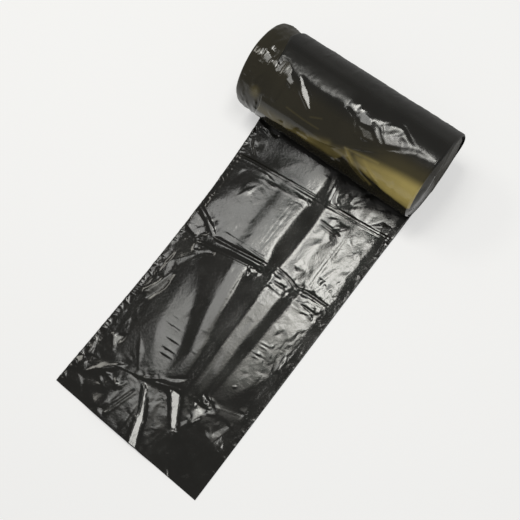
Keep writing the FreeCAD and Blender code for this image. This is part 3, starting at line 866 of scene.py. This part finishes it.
def tail_surface(field):
    """The tail's top side: its heights, kept below the roll, and its edges, shifted off the rectangle."""
    x, y = field.x, field.y
    lying = np.clip(field.height, LEAST_GAP - FILM_LIFT, GREATEST_RISE) + FILM_LIFT
    headroom = AXIS_Z - np.sqrt(np.clip(RADIUS**2 - y**2, 0.0, None)) - LEAST_GAP
    z = np.minimum(lying, np.maximum(headroom, LEAST_GAP))
    shift = line_height(LEFT_EDGE, y) * (1.0 - ramp(x, WEB_LEFT, WEB_LEFT + SIDE_FADE))
    shift += line_height(RIGHT_EDGE, y) * ramp(x, WEB_RIGHT - SIDE_FADE, WEB_RIGHT)
    slide = line_height(FREE_EDGE, x) * ramp(-y, -TAIL_END - END_FADE, -TAIL_END)
    return np.stack([x + shift, y + slide, z], axis=-1)


def add_tail():
    columns = int((WEB_RIGHT - WEB_LEFT) / STEP) + 1
    rows = int((TAIL_BACK - TAIL_END) / STEP) + 1
    xs = np.linspace(WEB_LEFT, WEB_RIGHT, columns)
    ys = np.linspace(TAIL_END, TAIL_BACK, rows)
    top = tail_surface(tail_field(xs, ys)).reshape(-1, 3)
    rim = grid_rim(rows, columns)
    under = top[rim].copy()
    under[:, 2] = FLOOR_GAP
    ring = len(top) + np.arange(len(rim))
    sides = np.stack([np.roll(rim, -1), rim, ring, np.roll(ring, -1)], axis=1)
    faces = grid_faces(rows, columns) + sides.tolist() + [ring[::-1].tolist()]
    vertices = np.concatenate([top, under]) * MM
    return mesh_object("loose_tail", vertices.tolist(), faces)


def on_roll(x, turn, radius):
    """Points round the roll's axis, kept off the floor."""
    angle = np.radians(turn)
    y = -np.sin(angle) * radius
    z = np.maximum(AXIS_Z + np.cos(angle) * radius, FLOOR_GAP)
    return np.stack([x, y, z], axis=-1)


def add_outer_turn():
    share, turn = np.meshgrid(
        np.linspace(0.0, 1.0, OUTER_COLUMNS), np.linspace(-HALF_ROUND, HALF_ROUND, OUTER_ROWS)
    )
    left = line_height(EDGE_LINE, turn)
    right = WEB_RIGHT + RIGHT_BULGE * window(turn, -112.0, 12.0, 20.0)
    x = left + (right - left) * share
    drop = LEFT_DROP * (1.0 - smooth((x - left) / LEFT_WIDTH))
    drop += RIGHT_DROP * (1.0 - smooth((right - x) / RIGHT_WIDTH)) ** 2
    height = outer_field().sample(x, turn * TURN) - drop
    height = np.where(np.abs(turn) > FOOT_TURN, np.minimum(height, 0.0), height)
    tucked = TUCK * ramp(turn, FOOT_TURN, 178.0)
    points = on_roll(x, turn, RADIUS + np.clip(height, -6.0, 3.0) - tucked)
    outward = [face[::-1] for face in grid_faces(OUTER_ROWS, OUTER_COLUMNS)]
    piece = mesh_object("outer_turn", (points.reshape(-1, 3) * MM).tolist(), outward)
    # Shares of the painted golden sheen and of the haze, for the material.
    set_share(piece, "painted_sheen", painted_sheen_share(x, turn))
    set_share(piece, "haze", haze_share(x, turn))
    return piece


def add_inner_turns():
    profile = inner_profile()
    rows = len(profile)
    turns = np.linspace(-HALF_ROUND, HALF_ROUND, INNER_COLUMNS, endpoint=False)
    turn = np.repeat(turns[None, :], rows, axis=0)
    x, radius, side = (np.repeat(column[:, None], INNER_COLUMNS, axis=1) for column in profile.T)
    x, radius = raised_inner(x, radius, side, turn)
    points = on_roll(x, turn, radius)
    faces = grid_faces(rows, INNER_COLUMNS, round_columns=True)
    faces.append(list(range(INNER_COLUMNS))[::-1])
    faces.append(list(range((rows - 1) * INNER_COLUMNS, rows * INNER_COLUMNS)))
    piece = mesh_object("inner_turns", (points.reshape(-1, 3) * MM).tolist(), faces)
    set_share(piece, "haze", np.maximum(haze_share(x, turn), 0.5 * ramp(turn, 45.0, 60.0)))
    # A faint golden tint over all the inner turns, and a painted golden sheen in a patch at the left end's
    # front.
    set_share(piece, "painted_sheen", 0.03 + 0.16 * window(x, -98.0, -88.0, 4.0) * window(turn, 50.0, 64.0, 6.0))
    return piece


# Materials

BLACK = (0.0085, 0.008, 0.0065)
# The colour of the painted golden sheen that the film shows where it catches the light.
PAINTED_SHEEN_GOLD = (0.42, 0.335, 0.11)
# How much darker and lighter the film's black and its painted sheen's gold get in its clouds.
BLACK_SHADES = (0.6, 1.5)
PAINTED_SHEEN_SHADES = (0.75, 1.2)
# The roughness of clear film over the clouds' range, and what full haze adds to it.
CLOUD_RANGE = (0.3, 0.7)
CLEAR_ROUGHNESS = (0.085, 0.14)
HAZE_ROUGHNESS = 0.38
FILM_IOR = 1.5
# The clouds and the finest wrinkles, to the metre.
NOISE_DETAIL = 4.0
CLOUD_SCALE = 30.0
WRINKLE_SCALE = 420.0
WRINKLE_DISTORTION = 0.8
WRINKLE_STRENGTH = 0.14
WRINKLE_DEPTH = 0.0005
PAPER_WHITE = (0.97, 0.97, 0.98, 1.0)
PAPER_ROUGHNESS = 0.9
# How much of the paper's white is its own, for the camera and the reflections.
PAPER_SHARE = 0.4


def new_material(name):
    material = bpy.data.materials.new(name)
    material.use_nodes = True
    return material, material.node_tree.nodes, material.node_tree.links


def shaded(colour, shade):
    return (*(shade * value for value in colour), 1.0)


def mixed(nodes, links, factor, first, second):
    """A colour between two others, each of them a plain colour or another node's."""
    mix = nodes.new("ShaderNodeMix")
    mix.data_type = "RGBA"
    links.new(factor, mix.inputs["Factor"])
    for socket, colour in (("A", first), ("B", second)):
        if isinstance(colour, tuple):
            mix.inputs[socket].default_value = colour
        else:
            links.new(colour, mix.inputs[socket])
    return mix.outputs["Result"]


def noise(nodes, links, coordinates, scale, distortion=0.0):
    texture = nodes.new("ShaderNodeTexNoise")
    texture.inputs["Scale"].default_value = scale
    texture.inputs["Detail"].default_value = NOISE_DETAIL
    texture.inputs["Distortion"].default_value = distortion
    links.new(coordinates, texture.inputs["Vector"])
    return texture.outputs["Fac"]


def share_of(nodes, name):
    """The value that the mesh's vertices have under a name."""
    node = nodes.new("ShaderNodeAttribute")
    node.attribute_name = name
    return node.outputs["Fac"]


def calculated(nodes, links, operation, *values, clamped=False):
    """What a Math node gives for numbers and other nodes' values."""
    node = nodes.new("ShaderNodeMath")
    node.operation = operation
    node.use_clamp = clamped
    for socket, value in zip(node.inputs, values):
        if isinstance(value, float):
            socket.default_value = value
        else:
            links.new(value, socket)
    return node.outputs["Value"]


def film_colour(nodes, links, clouds):
    black = mixed(nodes, links, clouds, *(shaded(BLACK, shade) for shade in BLACK_SHADES))
    painted_sheen = mixed(nodes, links, clouds, *(shaded(PAINTED_SHEEN_GOLD, shade) for shade in PAINTED_SHEEN_SHADES))
    # The painted golden sheen is laid over the black by its share.
    return mixed(nodes, links, share_of(nodes, "painted_sheen"), black, painted_sheen)


def film_roughness(nodes, links, clouds):
    clear = nodes.new("ShaderNodeMapRange")
    clear.inputs["From Min"].default_value, clear.inputs["From Max"].default_value = CLOUD_RANGE
    clear.inputs["To Min"].default_value, clear.inputs["To Max"].default_value = CLEAR_ROUGHNESS
    links.new(clouds, clear.inputs["Value"])
    haze = share_of(nodes, "haze")
    return calculated(nodes, links, "MULTIPLY_ADD", haze, HAZE_ROUGHNESS, clear.outputs["Result"])


def film_material():
    """Black film with a painted golden sheen and a hazy share, in faint clouds, with fine wrinkles."""
    material, nodes, links = new_material("black_film")
    shader = nodes["Principled BSDF"]
    shader.inputs["IOR"].default_value = FILM_IOR
    coordinates = nodes.new("ShaderNodeTexCoord").outputs["Object"]
    clouds = noise(nodes, links, coordinates, CLOUD_SCALE)
    links.new(film_colour(nodes, links, clouds), shader.inputs["Base Color"])
    links.new(film_roughness(nodes, links, clouds), shader.inputs["Roughness"])
    bump = nodes.new("ShaderNodeBump")
    bump.inputs["Strength"].default_value = WRINKLE_STRENGTH
    bump.inputs["Distance"].default_value = WRINKLE_DEPTH
    wrinkles = noise(nodes, links, coordinates, WRINKLE_SCALE, WRINKLE_DISTORTION)
    links.new(wrinkles, bump.inputs["Height"])
    links.new(bump.outputs["Normal"], shader.inputs["Normal"])
    return material


def floor_material():
    """White paper that the camera and the reflections see a little whiter than it is lit."""
    material, nodes, links = new_material("floor_paper")
    shader = nodes["Principled BSDF"]
    shader.inputs["Base Color"].default_value = PAPER_WHITE
    shader.inputs["Roughness"].default_value = PAPER_ROUGHNESS
    shader.inputs["Specular IOR Level"].default_value = 0.0
    rays = nodes.new("ShaderNodeLightPath").outputs
    seen = calculated(nodes, links, "ADD", rays["Is Camera Ray"], rays["Is Glossy Ray"])
    seen = calculated(nodes, links, "ADD", seen, rays["Is Transmission Ray"])
    share = calculated(nodes, links, "MULTIPLY", seen, PAPER_SHARE, clamped=True)
    white = nodes.new("ShaderNodeEmission")
    both = nodes.new("ShaderNodeMixShader")
    links.new(share, both.inputs[0])
    links.new(shader.outputs["BSDF"], both.inputs[1])
    links.new(white.outputs["Emission"], both.inputs[2])
    links.new(both.outputs["Shader"], nodes["Material Output"].inputs["Surface"])
    return material


def dress(piece, material):
    piece.data.materials.append(material)
    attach(piece, "root")
    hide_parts("bag_roll")


# The studio

# The camera's place round the tail's middle, found from the photo's outline of the roll and the tail:
# angles in degrees, the distance in metres, and the lens and its sensor in millimetres.
VIEW_AZIMUTH = 57.01
VIEW_ELEVATION = 73.39
VIEW_ROLL = -19.76
VIEW_DISTANCE = 0.88909
VIEW_TARGET = (0.00802, -0.17355, 0.0)
LENS = 55.38
SENSOR = 36.0
# The softboxes, in metres: their place, size, radiance and colour. The first five hang side by side where
# the flat tail mirrors them into the camera, and the other two light the creases' flanks.
SOFTBOXES = {
    "far_left_softbox": ((-0.6275, 0.25, 2.0), (0.375, 0.3), 5.3, (1.0, 1.0, 0.97)),
    "near_left_softbox": ((-0.6275, -0.13, 2.0), (0.375, 0.46), 5.0, (1.0, 1.0, 0.96)),
    "far_right_softbox": ((-0.2975, 0.25, 2.0), (0.285, 0.3), 19.0, (1.0, 0.99, 0.93)),
    "near_right_softbox": ((-0.2975, 0.0, 2.0), (0.285, 0.2), 7.8, (1.0, 0.99, 0.92)),
    "dim_softbox": ((-0.2975, -0.23, 2.0), (0.285, 0.26), 1.4, (1.0, 0.98, 0.90)),
    "right_box": ((0.43, 0.06, 1.9), (0.3, 0.8), 14.0, (1.0, 0.99, 0.94)),
    "left_box": ((-1.25, -0.1, 1.5), (0.4, 0.6), 6.5, (1.0, 0.97, 0.88)),
}
WORLD_GREY = (0.27, 0.27, 0.265, 1.0)
FLOOR_REACH = 20


def add_camera():
    azimuth = math.radians(VIEW_AZIMUTH)
    elevation = math.radians(VIEW_ELEVATION)
    level = math.cos(elevation)
    back = Vector((math.sin(azimuth) * level, -math.cos(azimuth) * level, math.sin(elevation)))
    right = Vector((math.cos(azimuth), math.sin(azimuth), 0.0))
    up = back.cross(right)
    upright = Matrix((right, up, back)).transposed()
    turned = upright @ Matrix.Rotation(math.radians(VIEW_ROLL), 3, "Z")
    data = bpy.data.cameras.new("camera")
    data.lens = LENS
    data.sensor_width = SENSOR
    camera = bpy.data.objects.new("camera", data)
    camera.matrix_world = Matrix.Translation(Vector(VIEW_TARGET) + back * VIEW_DISTANCE) @ turned.to_4x4()
    bpy.context.scene.collection.objects.link(camera)
    bpy.context.scene.camera = camera


def add_softbox(name, place, size, radiance, colour):
    """A rectangle that faces straight down and gives off the same radiance all over, whatever its size."""
    data = bpy.data.lights.new(name, "AREA")
    data.shape = "RECTANGLE"
    data.size, data.size_y = size
    data.energy = radiance * math.pi * size[0] * size[1]
    data.color = colour
    light = bpy.data.objects.new(name, data)
    light.location = place
    bpy.context.scene.collection.objects.link(light)


def add_floor():
    corners = [(x * FLOOR_REACH, y * FLOOR_REACH, 0) for x, y in ((-1, -1), (1, -1), (1, 1), (-1, 1))]
    floor = mesh_object("floor", corners, [(0, 1, 2, 3)])
    floor.data.materials.append(floor_material())


def add_studio():
    world = bpy.data.worlds.new("studio")
    world.use_nodes = True
    world.node_tree.nodes["Background"].inputs["Color"].default_value = WORLD_GREY
    bpy.context.scene.world = world
    for name, (place, size, radiance, colour) in SOFTBOXES.items():
        add_softbox(name, place, size, radiance, colour)


# The scene

add_camera()
add_floor()
add_studio()
film = film_material()
tail = add_tail()
outer_turn = add_outer_turn()
inner_turns = add_inner_turns()
for film_piece in (tail, outer_turn, inner_turns):
    dress(film_piece, film)

bpy.context.scene.view_settings.view_transform = "Standard"
